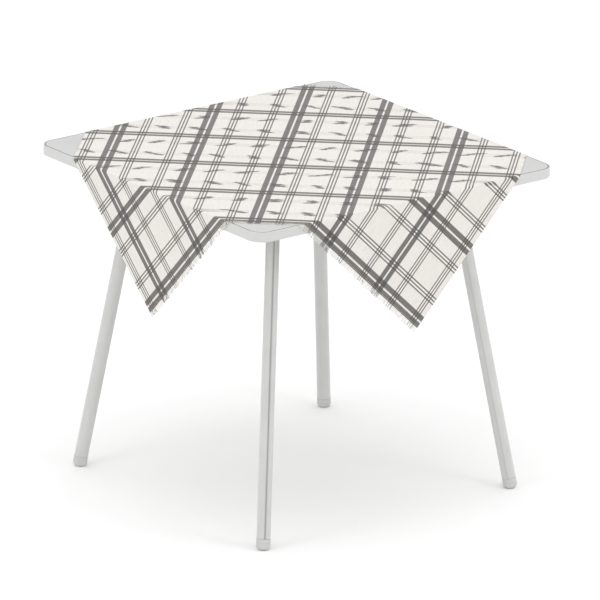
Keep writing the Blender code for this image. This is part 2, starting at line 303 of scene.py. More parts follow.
class Paint(Graph):
    """One finish: a material whose shader is built up by sums on its sockets."""

    def __init__(self, name, **steady):
        self.material = bpy.data.materials.new(name)
        self.material.use_nodes = True
        super().__init__(self.material.node_tree)
        self.shader = self.tree.nodes["Principled BSDF"]
        for socket, value in steady.items():
            self.shader.inputs[socket.replace("_", " ")].default_value = value

    def place(self):
        return self.node('ShaderNodeTexCoord', output=3)

    def flat_place(self):
        """Where a point lies on the flat cloth, in metres across and along it."""
        return self.split(self.node('ShaderNodeUVMap', {"uv_map": FLAT_MAP}))[:2]

    def step_down(self, value, edge, softness):
        """One where the value is under the edge, nought above it, with a soft change between."""
        return self.node('ShaderNodeMapRange', {"interpolation_type": 'SMOOTHSTEP'}, {
            "Value": value, "From Min": edge - softness, "From Max": edge + softness,
            "To Min": 1.0, "To Max": 0.0})

    def mix(self, factor, first, second):
        return self.node('ShaderNodeMix', {"data_type": 'RGBA'},
                         {0: factor, 6: first, 7: second}, output=2)

    def spread(self, value, low, high):
        """A noise value stretched so that low to high fills nought to one."""
        return self.node('ShaderNodeMapRange', inputs={
            "Value": value, "From Min": low, "From Max": high, "To Min": 0.0, "To Max": 1.0})

    def patches(self, place, scale, low, high, detail=2.0, roughness=0.5):
        """Soft patches of noise, from nought to one."""
        return self.spread(self.noise(place, scale, detail, roughness), low, high)

    def yarns(self, across, along, x_scale, y_scale, row, low, high, detail=2.0, roughness=0.5):
        """Patches drawn out along or across the flat cloth."""
        place = self.join(across * x_scale, along * y_scale, row)
        return self.patches(place, 1.0, low, high, detail, roughness)

    def mottle(self, factor, colour_value, low, high):
        """A colour that goes from one share of its brightness to another."""
        return self.mix(factor, lighter(colour_value, low), lighter(colour_value, high))

    def cover(self, colour_value, roughness=None, bump=None, depth=0.1 * MM, strength=1.0):
        self.feed(self.shader.inputs["Base Color"], colour_value)
        if roughness is not None:
            self.feed(self.shader.inputs["Roughness"], roughness)
        if bump is not None:
            normal = self.node('ShaderNodeBump', inputs={
                "Height": bump, "Distance": depth, "Strength": strength})
            self.feed(self.shader.inputs["Normal"], normal)
        return self.material


def lighter(colour_value, factor):
    """The same colour, brighter or darker by a factor."""
    return opaque([min(1.0, part * factor) for part in colour_value])


# ---- Finishes ----------------------------------------------------------------------------------

def stripe_mask(paint, place, repeat, start, checks, run=None, slub=None):
    """One on the wide pair and the three fine stripes beside it, in one direction.

    With a run and a slub, the fine stripes swell and thin along the run as thick-and-thin
    yarn does.
    """
    soft = 0.35 * MM
    from_pair = abs(paint.maths('WRAP', place - start, repeat / 2, -repeat / 2))
    wide_middle = (checks.wide_stripe + checks.wide_gap) / 2
    wide = paint.step_down(abs(from_pair - wide_middle), checks.wide_stripe / 2, soft)
    from_fine = from_pair - checks.fine_offset
    fine_half = checks.fine_stripe / 2
    if run is not None:
        line = paint.maths('FLOOR', from_fine / checks.fine_pitch + 0.5)
        swell = paint.maths('SINE', run * (math.tau / checks.slub_length) + line * 0.7)
        swell = paint.maths('MAXIMUM', swell, 0.0)
        fine_half = fine_half * (1.0 + slub * (swell ** 3.0 * SLUB_SWELL - SLUB_THIN))
    from_middle = abs(from_fine)
    nearest = paint.maths('MINIMUM', from_middle, abs(from_middle - checks.fine_pitch))
    fine = paint.step_down(nearest - fine_half, 0.0, soft)
    return paint.maths('MAXIMUM', wide, fine)


def woven_cloth_finish(cloth, checks):
    """Plain weave in thick-and-thin yarn, with dark checks woven in both directions."""
    paint = Paint("checked_linen", Roughness=0.9, Sheen_Weight=0.18, Sheen_Roughness=0.6,
                  Specular_IOR_Level=0.18)
    across, along = paint.flat_place()
    pitch = checks.yarn_pitch
    lengthwise_slub = paint.noise(paint.join(across / pitch * 0.9, along * 24.0), 1.0, 1.0)
    crosswise_slub = paint.noise(paint.join(across * 22.0, along / pitch * 0.8, 4.0), 1.0, 1.0)
    ragged = 0.5 * MM
    across_yarn = across + (crosswise_slub - 0.5) * ragged
    along_yarn = along + (lengthwise_slub - 0.5) * ragged
    drift = paint.noise(paint.join(across * 9.0, along * 30.0, 9.0), 1.0, 1.0)
    down = stripe_mask(paint, across_yarn, checks.across, checks.across_start, checks)
    over = stripe_mask(paint, along_yarn, checks.along, checks.along / 2, checks,
                       across + drift * checks.slub_length,
                       paint.step_down(abs(across) + abs(along), 0.56, 0.05) * checks.slub)
    weave = (paint.maths('SINE', across * (math.pi / pitch))
             * paint.maths('SINE', along * (math.pi / pitch)))
    down_cover = down * (weave * 0.16 + checks.cover)
    over_cover = over * (checks.cover - weave * 0.16)
    dark = 1.0 - (1.0 - down_cover) * (1.0 - over_cover)

    warm = paint.yarns(across, along, 420.0, 30.0, 2.0, 0.42, 0.72)
    cool = paint.yarns(across, along, 380.0, 24.0, 6.0, 0.45, 0.75)
    bits = paint.yarns(across, along, 900.0, 700.0, 3.0, 0.35, 0.7)
    grain = paint.yarns(across, along, 310.0, 190.0, 12.0, 0.38, 0.66, 3.0, 0.65)
    ground = paint.mix(warm * 0.55, opaque(cloth.ground), opaque(shade(238, 225, 217)))
    ground = paint.mix(cool * 0.5, ground, opaque(shade(220, 220, 219)))
    ground = paint.mix(bits * 0.14, ground, opaque(shade(196, 192, 184)))
    ground = paint.mix(grain * 0.22, ground, opaque(shade(206, 203, 198)))
    yarn = paint.mix(warm * 0.5, opaque(cloth.dark_yarn), opaque(shade(98, 92, 86)))
    yarn = paint.mix(cool * 0.35, yarn, opaque(shade(70, 68, 72)))
    woven = paint.mix(dark, ground, yarn)
    shadow = (1.0 - abs(weave)) * 0.16
    woven = paint.mix(shadow, woven, opaque(shade(96, 90, 82)))
    rise = abs(weave) ** 0.5 + (lengthwise_slub + crosswise_slub) * 0.5
    return paint.cover(woven, bump=rise, depth=0.18 * MM, strength=0.7)


def fringe_finish(cloth, checks):
    """The loose ends of the lengthwise yarns, dark where the lengthwise stripes run out."""
    paint = Paint("fringe_yarn", Roughness=0.92, Sheen_Weight=0.25, Sheen_Roughness=0.5,
                  Specular_IOR_Level=0.15)
    across, along = paint.flat_place()
    down = stripe_mask(paint, across, checks.across, checks.across_start, checks)
    tint = paint.yarns(across, along, 700.0, 8.0, 0.0, 0.3, 0.7)
    ground = paint.mix(tint * 0.6, opaque(cloth.ground), opaque(shade(224, 219, 210)))
    yarn = paint.mix(tint * 0.5, opaque(cloth.dark_yarn), opaque(shade(104, 100, 96)))
    twist = paint.noise(paint.place(), 2600.0, 1.0)
    return paint.cover(paint.mix(down * 0.86, ground, yarn), bump=twist, depth=0.08 * MM)


def stitch_finish(cloth):
    paint = Paint("hem_thread", Roughness=0.7, Sheen_Weight=0.1, Specular_IOR_Level=0.3)
    thread = paint.mottle(paint.noise(paint.place(), 900.0, 1.0), cloth.ground, 0.92, 1.02)
    return paint.cover(thread, bump=paint.noise(paint.place(), 4200.0, 1.0), depth=0.05 * MM)


def square_distance(paint, half, radius):
    """How far outside a round-cornered square a point lies; negative inside it."""
    x, y, _ = paint.split(paint.place())
    side_x = abs(x) - (half - radius)
    side_y = abs(y) - (half - radius)
    out_x = paint.maths('MAXIMUM', side_x, 0.0)
    out_y = paint.maths('MAXIMUM', side_y, 0.0)
    outside = (out_x * out_x + out_y * out_y) ** 0.5
    inside = paint.maths('MINIMUM', paint.maths('MAXIMUM', side_x, side_y), 0.0)
    return outside + inside - radius


def laminate_finish(name, table, face_colour, edge_shade_width=0.0):
    """Hard matt laminate with a fine pebble, dark where its cut edge shows, and that dark edge
    widened by painted shade of the joint beside the band.
    """
    paint = Paint(name, Specular_IOR_Level=0.45)
    place = paint.place()
    cloud = paint.patches(place, 14.0, 0.3, 0.7, 3.0)
    speck = paint.patches(place, 900.0, 0.35, 0.65, 1.0)
    face = paint.mottle(cloud, face_colour, 0.97, 1.03)
    face = paint.mix(speck * 0.25, face, lighter(face_colour, 0.9))
    if edge_shade_width:
        half = TOP_HALF - table.band_thickness - FIT_GAP
        radius = table.corner_radius - table.band_thickness - FIT_GAP
        inner = 0.0 - square_distance(paint, half, radius)
        # Painted shade: the dark edge runs wider than the eased cut edge and stands in for the
        # shade in the joint beside the band.
        face = paint.mix(paint.step_down(inner, edge_shade_width, 0.3 * MM), face,
                         opaque(shade(92, 91, 90)))
    scuff = paint.patches(place, 60.0, 0.45, 0.75, 4.0, 0.7)
    return paint.cover(face, roughness=scuff * 0.12 + 0.38,
                       bump=paint.noise(place, 1400.0, 1.0), depth=0.05 * MM, strength=0.5)


def band_finish(table):
    """Extruded edge band: faint draw lines along it, a little worn on its rounded arrises."""
    paint = Paint("edge_banding", Specular_IOR_Level=0.5)
    place = paint.place()
    _, _, height = paint.split(place)
    lines = paint.noise(paint.join(height * 2600.0, 0.0, 0.0), 1.0, 2.0)
    from_middle = abs(height - (UNDERSIDE + TOP_HEIGHT) / 2)
    arris = 1.0 - paint.step_down(from_middle, (TOP_HEIGHT - UNDERSIDE) / 2 - 0.6 * MM, 0.7 * MM)
    patchy = paint.patches(place, 45.0, 0.35, 0.65, 3.0)
    face = paint.mottle(paint.spread(lines, 0.3, 0.7) * 0.5, table.band, 1.0, 0.93)
    face = paint.mix(arris * patchy * 0.5, face, lighter(table.band, 1.12))
    return paint.cover(face, roughness=patchy * 0.1 + 0.33, bump=lines, depth=0.04 * MM,
                       strength=0.6)


def powder_coat_finish(table):
    """Powder coat over steel tube: a fine orange peel under a thin gloss, darkened by painted shade
    along each tube's seam.
    """
    paint = Paint("powder_coat", Coat_Weight=0.25, Coat_Roughness=0.18, Specular_IOR_Level=0.5)
    place = paint.place()
    peel = paint.noise(place, 520.0, 2.0)
    cloud = paint.patches(place, 18.0, 0.3, 0.7, 3.0)
    _, _, height = paint.split(place)
    knocks = paint.patches(place, 70.0, 0.66, 0.74, 5.0, 0.75)
    low = paint.step_down(height, 0.16, 0.12)
    coat = paint.mottle(cloud, table.paint, 0.97, 1.03)
    coat = paint.mix(knocks * low * 0.5, coat, lighter(table.paint, 0.6))
    # Painted shade: the coat turns much darker along the seam's groove, by the weight stored on
    # each tube.
    seam = paint.node('ShaderNodeAttribute', {"attribute_name": SEAM_AND_SHADE}, output=2)
    coat = paint.mix(seam * 0.9, coat, lighter(table.paint, 0.38))
    return paint.cover(coat, roughness=cloud * 0.08 + 0.32, bump=peel, depth=0.12 * MM,
                       strength=0.35)


def cap_finish(table):
    """Moulded cap: a fine spark texture, scuffed grey where it meets the floor."""
    paint = Paint("moulded_cap", Specular_IOR_Level=0.4)
    place = paint.place()
    _, _, height = paint.split(place)
    spark = paint.noise(place, 1800.0, 1.0)
    scuff = (paint.step_down(height, 2.5 * MM, 2 * MM)
             * paint.patches(place, 260.0, 0.35, 0.65, 3.0))
    face = paint.mottle(paint.patches(place, 40.0, 0.3, 0.7), table.cap, 0.96, 1.03)
    face = paint.mix(scuff * 0.6, face, opaque(shade(140, 138, 134)))
    return paint.cover(face, roughness=scuff * 0.2 + 0.48, bump=spark, depth=0.06 * MM,
                       strength=0.6)


def zinc_finish():
    """Bright zinc plate with the cloudy grain of plated screws."""
    paint = Paint("zinc_plate", Metallic=1.0)
    place = paint.place()
    grain = paint.patches(place, 700.0, 0.3, 0.7, 3.0)
    bare = paint.mix(grain, opaque(shade(186, 186, 182)), opaque(shade(214, 213, 206)))
    return paint.cover(bare, roughness=grain * 0.2 + 0.25, bump=grain, depth=0.03 * MM)


def board_finish():
    """Pressed wood chips, seen only inside the screw holes."""
    paint = Paint("chip_board", Roughness=0.85)
    place = paint.place()
    chips = paint.node('ShaderNodeTexVoronoi', inputs={"Vector": place, "Scale": 420.0}, output=0)
    chip = paint.mix(chips, opaque(shade(176, 142, 98)), opaque(shade(222, 194, 150)))
    fibre = paint.patches(place, 1500.0, 0.3, 0.7)
    return paint.cover(paint.mix(fibre * 0.4, chip, opaque(shade(150, 116, 76))), bump=chips,
                       depth=0.3 * MM)


# ---- Shapes ------------------------------------------------------------------------------------

def new_object(name, data):
    made = bpy.data.objects.new(name, data)
    bpy.context.scene.collection.objects.link(made)
    return made


def mesh_from(bm, name, material, angle=35):
    mesh = bpy.data.meshes.new(name)
    bm.to_mesh(mesh)
    bm.free()
    mesh.materials.append(material)
    mesh.shade_smooth()
    mesh.set_sharp_from_angle(angle=math.radians(angle))
    return mesh


def add_piece(name, mesh, body, slot, *replaced):
    """Puts a finished mesh in the scene, on its body, in place of the CAD nodes it stands for."""
    piece = new_object(name, mesh)
    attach(piece, body)
    if replaced:
        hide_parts(*replaced)
    return piece


def check_box(piece, *nodes):
    """Stops if a piece has strayed from the CAD nodes it stands for."""
    corners = [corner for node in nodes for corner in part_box(node)]
    for axis in range(3):
        places = [vertex.co[axis] for vertex in piece.data.vertices]
        cad = [corner[axis] for corner in corners]
        if max(abs(min(places) - min(cad)), abs(max(places) - max(cad))) > STRAYED:
            raise RuntimeError(f"{piece.name} lies {min(places):.4f} to {max(places):.4f} on axis "
                               f"{axis}, and its nodes {min(cad):.4f} to {max(cad):.4f}")


def refinish(node, material):
    """Gives a CAD node that stays its finish."""
    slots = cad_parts[node].data.materials
    slots.clear()
    slots.append(material)


def rim_path(half, radius, segments):
    """Corner centres and outward directions round a square with round corners."""
    lead = 4 * MM
    path = []
    for quarter in range(4):
        centre = Matrix.Rotation(quarter * math.pi / 2, 2) @ Vector((half - radius, half - radius))
        for step in range(-1, segments + 2):
            inside = min(max(step, 0), segments)
            angle = (quarter + inside / segments) * math.pi / 2
            tangent = Vector((-math.sin(angle), math.cos(angle)))
            path.append((centre + tangent * lead * (step - inside),
                         Vector((math.cos(angle), math.sin(angle)))))
    return path


def join_rings(bm, rings, tube=True, ends=False):
    """Faces between neighbouring rings of points, and over the first and last if asked."""
    points = len(rings[0])
    for ring, following in zip(rings, rings[1:] + ([] if ends else rings[:1])):
        for index in range(points if tube else points - 1):
            after = (index + 1) % points
            bm.faces.new((ring[index], following[index], following[after], ring[after]))
    if ends:
        bm.faces.new(rings[0])
        bm.faces.new(rings[-1][::-1])


def sweep_rim(bm, half, radius, profile, segments, closed=True):
    """Carries a profile of (inset, height) points round the table's edge."""
    rings = [[bm.verts.new((*(centre + outward * (radius - inset)), height))
              for inset, height in profile]
             for centre, outward in rim_path(half, radius, segments)]
    join_rings(bm, rings, closed)
    return rings


def quarter_round(middle, radius, start, steps):
    """Points of a quarter circle, in profile, from an angle given in quarter turns."""
    turns = [(start + step / steps) * math.pi / 2 for step in range(steps + 1)]
    return [(middle[0] + radius * math.cos(a), middle[1] + radius * math.sin(a)) for a in turns]


def lathe(bm, profile, steps, place, closed=False):
    """Turns a profile of (radius, height) points, given down its outer side, about its axis."""
    rings = []
    for radius, height in profile:
        count = steps if radius > SAME_PLACE else 1
        rings.append([bm.verts.new(place @ Vector((
            radius * math.cos(math.tau * index / count),
            radius * math.sin(math.tau * index / count), height))) for index in range(count)])
    for upper, lower in zip(rings, rings[1:] + (rings[:1] if closed else [])):
        for index in range(steps):
            after = index + 1
            loop = [upper[index % len(upper)], lower[index % len(lower)],
                    lower[after % len(lower)], upper[after % len(upper)]]
            bm.faces.new(list(dict.fromkeys(loop)))


def cut_level(bm, height, away):
    """Cuts off what lies past a level, up or down, and gives back the open edges."""
    cut = bmesh.ops.bisect_plane(bm, geom=[*bm.verts, *bm.edges, *bm.faces],
                                 plane_co=(0, 0, height), plane_no=(0, 0, away),
                                 dist=SAME_PLACE, clear_outer=True)
    return [item for item in cut["geom_cut"] if isinstance(item, bmesh.types.BMEdge)]


# ---- Cloth -------------------------------------------------------------------------------------

class Drape:
    """How the flat cloth comes to lie: on the top, round its edge and down its sides."""

    def __init__(self, cloth, table):
        self.fold_start = TOP_HALF - table.band_round
        self.radius = cloth.fold_radius
        self.arc = self.radius * math.pi / 2
        self.turn = Matrix.Rotation(cloth.turn, 2)
        self.back = Matrix.Rotation(-cloth.turn, 2)
        self.shift = Vector(cloth.shift)
        self.swing = cloth.swing
        self.wave = cloth.wave
        self.rest = TOP_HEIGHT + FIT_GAP

    def on_table(self, across, along):
        return self.turn @ Vector((across, along)) + self.shift

    def on_cloth(self, flat):
        return self.back @ (flat - self.shift)

    def over_edge(self, distance):
        """How far out and how far down a point lies, given its flat distance from the middle."""
        past = distance - self.fold_start
        if past <= 0:
            return distance, 0.0
        if past < self.arc:
            angle = past / self.radius
            return (self.fold_start + self.radius * math.sin(angle),
                    self.radius * (1 - math.cos(angle)))
        return self.fold_start + self.radius, self.radius + past - self.arc

    def flutter(self, side, sideways, drop):
        """How far a hanging corner stands out from plumb."""
        reach = drop / HANG_LENGTH
        roll = noise.noise(Vector((sideways * 5.5 + side * 7.3, drop * 2.2, side * 3.1)))
        ease = math.sin(min(reach, 1.0) * math.pi / 2)
        return ease * (self.swing + roll * self.wave * 1.6) + self.swing * 1.2 * reach ** 3

    def ripple(self, flat):
        """The slight unevenness of the cloth where it lies on the top."""
        room = max(0.0, self.fold_start - max(abs(flat.x), abs(flat.y)))
        swell = noise.noise(Vector((flat.x * 9, flat.y * 9, 2.0))) + 0.35
        return RIPPLE_HEIGHT * max(0.0, swell) * min(1.0, room / RIPPLE_MARGIN)

    def lay(self, flat):
        """Where a point of the turned flat cloth comes to lie."""
        x, drop_x = self.over_edge(abs(flat.x))
        y, drop_y = self.over_edge(abs(flat.y))
        point = Vector((math.copysign(x, flat.x), math.copysign(y, flat.y),
                        self.rest - drop_x - drop_y))
        if drop_x > drop_y:
            out = math.copysign(1.0, flat.x)
            point.x += out * self.flutter(1.5 + out, flat.y, drop_x)
        elif drop_y > 0:
            out = math.copysign(1.0, flat.y)
            point.y += out * self.flutter(5.5 + out, flat.x, drop_y)
        else:
            point.z += self.ripple(flat)
        return point

    def place(self, across, along):
        return self.lay(self.on_table(across, along))

    def outward(self, across, along):
        """The direction that the cloth's upper face looks in."""
        here = self.place(across, along)
        step = MM
        right = self.place(across + step, along) - here
        ahead = self.place(across, along + step) - here
        return right.cross(ahead).normalized()


def cloth_lines(drape):
    """Where the cloth's grid lines run: close together round each fold, wider elsewhere."""
    reach = 0.74
    fold_steps = 9
    top_steps = 112
    hang_steps = 54
    fold_end = drape.fold_start + drape.arc
    half = [drape.fold_start + drape.arc * step / fold_steps for step in range(fold_steps)]
    half += [fold_end + (reach - fold_end) * step / hang_steps for step in range(hang_steps + 1)]
    middle = [drape.fold_start * (2 * step / top_steps - 1) for step in range(1, top_steps)]
    return [-place for place in reversed(half)] + middle + half


def flat_sheet(drape, cloth):
    """The flat cloth as a grid along the table's sides, cut to its own turned outline."""
    lines = cloth_lines(drape)
    half = Vector((cloth.width / 2, cloth.woven_length / 2))
    margin = 12 * MM
    bm = bmesh.new()
    made = {}

    def corner(i, j):
        if (i, j) not in made:
            made[i, j] = bm.verts.new((lines[i], lines[j], 0))
        return made[i, j]

    for i in range(len(lines) - 1):
        for j in range(len(lines) - 1):
            middle = drape.on_cloth(Vector(((lines[i] + lines[i + 1]) / 2,
                                            (lines[j] + lines[j + 1]) / 2)))
            if abs(middle.x) < half.x + margin and abs(middle.y) < half.y + margin:
                bm.faces.new((corner(i, j), corner(i + 1, j), corner(i + 1, j + 1),
                              corner(i, j + 1)))
    for side in (Vector((1, 0)), Vector((-1, 0)), Vector((0, 1)), Vector((0, -1))):
        away = drape.turn @ side
        edge = drape.on_table(side.x * half.x, side.y * half.y)
        everything = [*bm.verts, *bm.edges, *bm.faces]
        bmesh.ops.bisect_plane(bm, geom=everything, plane_co=(*edge, 0), plane_no=(*away, 0),
                               dist=MM / 20, clear_outer=True)
    return bm


def laid_cloth_mesh(drape, cloth, material):
    bm = flat_sheet(drape, cloth)
    flat_map = bm.loops.layers.uv.new(FLAT_MAP)
    for face in bm.faces:
        for loop in face.loops:
            loop[flat_map].uv = drape.on_cloth(loop.vert.co.xy)
    for vertex in bm.verts:
        vertex.co = drape.lay(vertex.co.xy)
    mesh = mesh_from(bm, "woven_cloth", material, 60)
    return thickened(mesh, cloth.thickness)


def plain_mesh(holder, name):
    """The mesh that an object's modifiers make, freed of them, and the object removed."""
    graph = bpy.context.evaluated_depsgraph_get()
    mesh = bpy.data.meshes.new_from_object(holder.evaluated_get(graph), depsgraph=graph)
    mesh.name = name
    holder.modifiers.clear()
    bpy.data.objects.remove(holder, do_unlink=True)
    return mesh


def thickened(mesh, thickness):
    holder = new_object(mesh.name, mesh)
    wall = holder.modifiers.new("Thickness", 'SOLIDIFY')
    wall.thickness = thickness
    wall.offset = 1
    return plain_mesh(holder, mesh.name)


# ---- Copies along a line -----------------------------------------------------------------------

def marker_mesh(name, places, **facts):
    """Loose points that carry what the copies set on them need to know."""
    mesh = bpy.data.meshes.new(name)
    mesh.from_pydata([tuple(place) for place in places], [], [])
    for fact, values in facts.items():
        vector = isinstance(values[0], Vector)
        layer = mesh.attributes.new(fact, 'FLOAT_VECTOR' if vector else 'FLOAT', 'POINT')
        flat_values = [part for value in values for part in value] if vector else values
        layer.data.foreach_set("vector" if vector else "value", flat_values)
    return mesh


class Recipe(Graph):
    """A Geometry Nodes tree with named inputs, and the mesh that it makes from markers."""

    def __init__(self, name):
        super().__init__(bpy.data.node_groups.new(name, 'GeometryNodeTree'))
        self.tree.interface.new_socket("Geometry", in_out='OUTPUT',
                                       socket_type='NodeSocketGeometry')
        self.entry = self.tree.nodes.new('NodeGroupInput')
        self.exit = self.tree.nodes.new('NodeGroupOutput')
        self.identifiers = {}
        self.ask("Geometry", 'NodeSocketGeometry')

    def ask(self, name, kind='NodeSocketFloat'):
        """A named input of the tree."""
        socket = self.tree.interface.new_socket(name, in_out='INPUT', socket_type=kind)
        self.identifiers[name] = socket.identifier
        return Value(self, self.entry.outputs[name])

    def attribute(self, name, kind='FLOAT'):
        return self.node('GeometryNodeInputNamedAttribute', {"data_type": kind}, {"Name": name})

    def store(self, geometry, name, value, kind='FLOAT', domain='POINT'):
        return self.node('GeometryNodeStoreNamedAttribute',
                         {"data_type": kind, "domain": domain},
                         {"Geometry": geometry, "Name": name, "Value": value})

    def random(self, low, high, seed):
        return self.node('FunctionNodeRandomValue', {"data_type": 'FLOAT'},
                         {2: low, 3: high, "Seed": seed}, output=1)

    def vector(self, operation, *values, output=0):
        return self.node('ShaderNodeVectorMath', {"operation": operation},
                         dict(enumerate(values)), output)

    def scaled(self, vector, factor):
        return self.vector('MULTIPLY', vector, self.join(factor, factor, factor))

    def lean(self, seed, amount):
        """A random lean to add to a direction."""
        return self.scaled(self.join(*(self.random(-1.0, 1.0, seed + step) for step in range(3))),
                           amount)

    def finish(self, geometry, material):
        whole = self.node('GeometryNodeRealizeInstances', inputs={"Geometry": geometry})
        self.feed(self.exit.inputs[0], self.node('GeometryNodeSetMaterial', inputs={
            "Geometry": whole, "Material": material}))

    def make(self, markers, name, keep=(), **sizes):
        """Runs the tree on the markers and gives back a plain mesh."""
        holder = new_object(name, markers)
        step = holder.modifiers.new(name, 'NODES')
        step.node_group = self.tree
        for wanted, value in sizes.items():
            step[self.identifiers[wanted.replace("_", " ")]] = value
        mesh = plain_mesh(holder, name)
        for layer in [layer.name for layer in mesh.attributes
                      if not layer.is_internal and not layer.is_required
                      and layer.name not in keep]:
            mesh.attributes.remove(mesh.attributes[layer])
        mesh.materials.clear()
        mesh.materials.append(sizes["Material"])
        mesh.shade_smooth()
        return mesh


def fringe_recipe():
    """Tapered, slightly curling threads that stand on marked points of the cloth's edge."""
    recipe = Recipe("Fringe Threads")
    long = recipe.ask("Thread Length")
    thick = recipe.ask("Thread Thickness")
    loose = recipe.ask("Looseness")
    curl = recipe.ask("Curl")
    seed = recipe.ask("Seed", 'NodeSocketInt')
    material = recipe.ask("Material", 'NodeSocketMaterial')
    markers = Value(recipe, recipe.entry.outputs["Geometry"])

    line = recipe.node('GeometryNodeCurvePrimitiveLine', inputs={"End": (0, 0, 1)})
    line = recipe.node('GeometryNodeResampleCurve', inputs={"Curve": line, "Count": 5})
    _, _, height = recipe.split(recipe.node('GeometryNodeInputPosition'))
    line = recipe.node('GeometryNodeSetCurveRadius', inputs={
        "Curve": line, "Radius": 1.0 - height * 0.35})
    round_section = recipe.node('GeometryNodeCurvePrimitiveCircle', inputs={
        "Resolution": 4, "Radius": thick * 0.5})
    thread = recipe.node('GeometryNodeCurveToMesh', inputs={
        "Curve": line, "Profile Curve": round_section, "Fill Caps": True})
    thread = recipe.store(thread, "run", height)

    aim = recipe.vector('ADD', recipe.attribute("aim", 'FLOAT_VECTOR'), recipe.lean(seed, loose))
    heading = recipe.node('FunctionNodeAlignRotationToVector', {"axis": 'Z'}, {"Vector": aim})
    growth = recipe.join(1.0, 1.0, long * recipe.random(0.82, 1.06, seed + 3))
    threads = recipe.node('GeometryNodeInstanceOnPoints', inputs={
        "Points": markers, "Instance": thread, "Rotation": heading, "Scale": growth})
    threads = recipe.node('GeometryNodeRealizeInstances', inputs={"Geometry": threads})

    run = recipe.attribute("run")
    place = recipe.node('GeometryNodeInputPosition')
    wander = recipe.node('ShaderNodeTexNoise', inputs={
        "Vector": place, "Scale": 210.0, "Detail": 1.0}, output=1)
    wander = recipe.vector('SUBTRACT', wander, (0.5, 0.5, 0.5))
    wander = recipe.scaled(wander, run * run * curl * 2.0)
    inward = recipe.attribute("face", 'FLOAT_VECTOR')
    into = recipe.maths('MINIMUM', recipe.vector('DOT_PRODUCT', wander, inward, output=1), 0.0)
    wander = recipe.vector('SUBTRACT', wander, recipe.scaled(inward, into))
    threads = recipe.node('GeometryNodeSetPosition', inputs={
        "Geometry": threads, "Offset": wander})
    flat = recipe.join(recipe.attribute("flat_across"),
                       recipe.attribute("flat_along") + run * long)
    threads = recipe.store(threads, FLAT_MAP, flat, 'FLOAT2', 'CORNER')
    recipe.finish(threads, material)
    return recipe


def fringe_markers(drape, cloth, fringe, end):
    """Root, direction, outward side and flat place of every thread along one end of the cloth."""
    count = int(cloth.width / fringe.thread_pitch)
    root = end * (cloth.woven_length / 2 - FRINGE_ROOT)
    tip = end * (cloth.woven_length / 2 + 10 * MM)
    places, aims, faces, across, along = [], [], [], [], []
    for index in range(count):
        u = cloth.width * ((index + 0.5) / count - 0.5)
        face = drape.outward(u, root)
        start = drape.place(u, root) + face * cloth.thickness / 2
        places.append(start)
        aims.append((drape.place(u, tip) + face * cloth.thickness / 2 - start).normalized())
        faces.append(face)
        across.append(u)
        along.append(root)
    return marker_mesh("thread_roots", places, aim=aims, face=faces, flat_across=across,
                       flat_along=along)


def copies_recipe():
    """Copies of one small part, each turned to its marker's aim and face."""
    recipe = Recipe("Set Copies")
    part = recipe.ask("Part", 'NodeSocketObject')
    material = recipe.ask("Material", 'NodeSocketMaterial')
    wobble = recipe.ask("Wobble")
    seed = recipe.ask("Seed", 'NodeSocketInt')
    markers = Value(recipe, recipe.entry.outputs["Geometry"])
    info = recipe.tree.nodes.new('GeometryNodeObjectInfo')
    recipe.feed(info.inputs["Object"], part)
    shape = Value(recipe, info.outputs["Geometry"])
    aim = recipe.vector('ADD', recipe.attribute("aim", 'FLOAT_VECTOR'),
                        recipe.lean(seed, wobble))
    turned = recipe.node('FunctionNodeAxesToRotation', {
        "primary_axis": 'Z', "secondary_axis": 'X'}, {
        0: aim, 1: recipe.attribute("face", 'FLOAT_VECTOR')})
    copies = recipe.node('GeometryNodeInstanceOnPoints', inputs={
        "Points": markers, "Instance": shape, "Rotation": turned})
    recipe.finish(copies, material)
    return recipe


def stitch_mesh(material, long=3.1 * MM, thick=0.34 * MM, rise=0.28 * MM):
    """One stitch: a low arch of thread along its own Z, both ends sunk in the cloth."""
    bm = bmesh.new()
    steps, sides = 6, 6
    rings = []
    for step in range(steps + 1):
        run = step / steps
        middle = Vector((rise * math.sin(math.pi * run) - 0.12 * MM, 0, long * (run - 0.5)))
        rings.append([bm.verts.new(middle + Vector((math.cos(a), math.sin(a), 0)) * thick / 2)
                      for a in (math.tau * side / sides for side in range(sides))])
    join_rings(bm, rings[::-1], ends=True)
    return mesh_from(bm, "stitch", material)


def stitch_markers(drape, cloth):
    """Middles, directions and faces of the stitches along both fringed ends."""
    count = int((cloth.width - 6 * MM) / STITCH_PITCH)
    places, aims, faces = [], [], []
    for end in (-1, 1):
        v = end * (cloth.woven_length / 2 - STITCH_INSET)
        for index in range(count):
            u = STITCH_PITCH * (index - (count - 1) / 2)
            face = drape.outward(u, v)
            places.append(drape.place(u, v) + face * cloth.thickness)
            aims.append((drape.place(u + MM, v) - drape.place(u - MM, v)).normalized())
            faces.append(face)
    return marker_mesh("stitch_places", places, aim=aims, face=faces)


